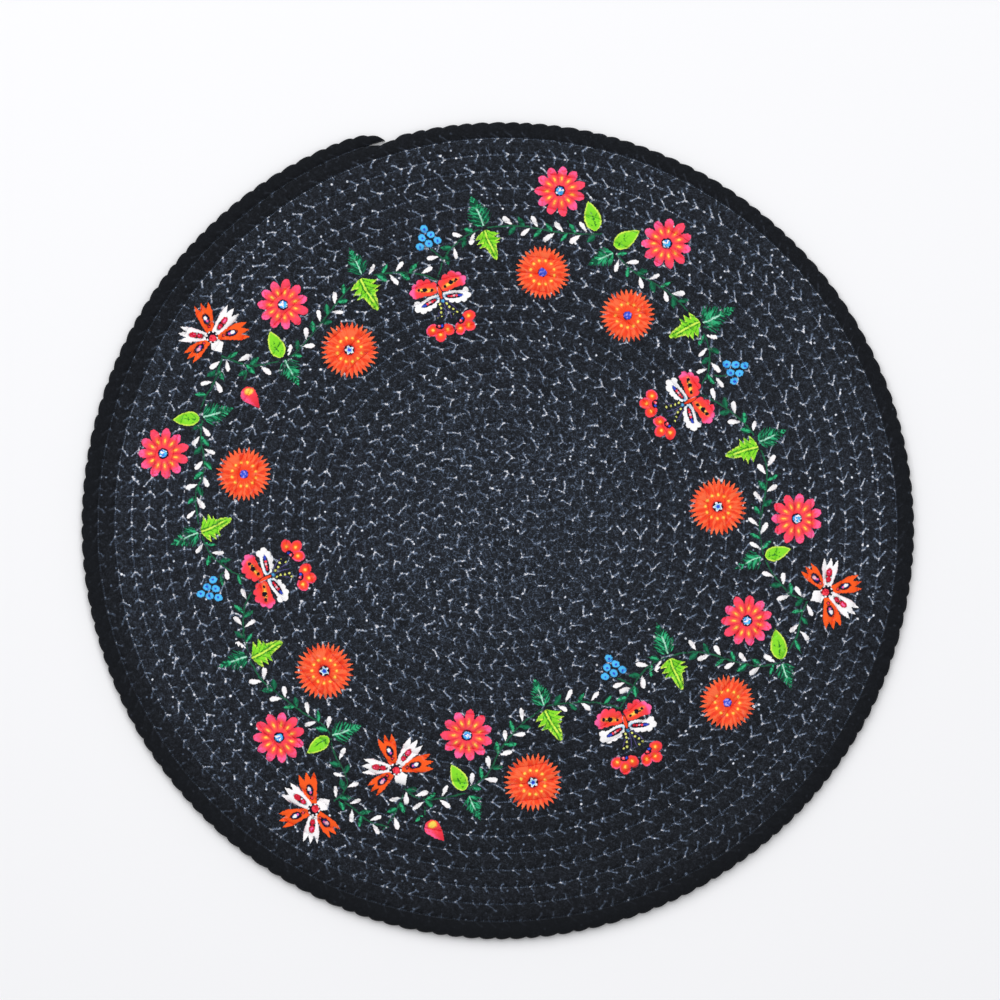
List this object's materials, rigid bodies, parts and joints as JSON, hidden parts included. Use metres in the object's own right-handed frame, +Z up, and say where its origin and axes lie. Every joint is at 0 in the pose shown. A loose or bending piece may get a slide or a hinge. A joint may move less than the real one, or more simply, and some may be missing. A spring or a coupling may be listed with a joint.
{
  "type": "round coiled-cord placemat",
  "caption": "Round flat placemat of plaited cord coiled from the middle and sewn turn to turn, with a printed wreath of folk flowers on a dark ground.",
  "frame": {"origin": "on the surface that the mat rests on, under the middle of its outline", "axes": "+Z up out of the printed face; +Y towards the back, where the cord's outer end lies a little left of the middle; +X to the right"},
  "size_m": [0.3806, 0.3768, 0.005],
  "materials": {
    "printed_cloth": "matt plaited cotton cord printed near black with a coloured flower wreath"
  },
  "bodies": {
    "root": {"mat": "printed_cloth"}
  },
  "joints": []
}
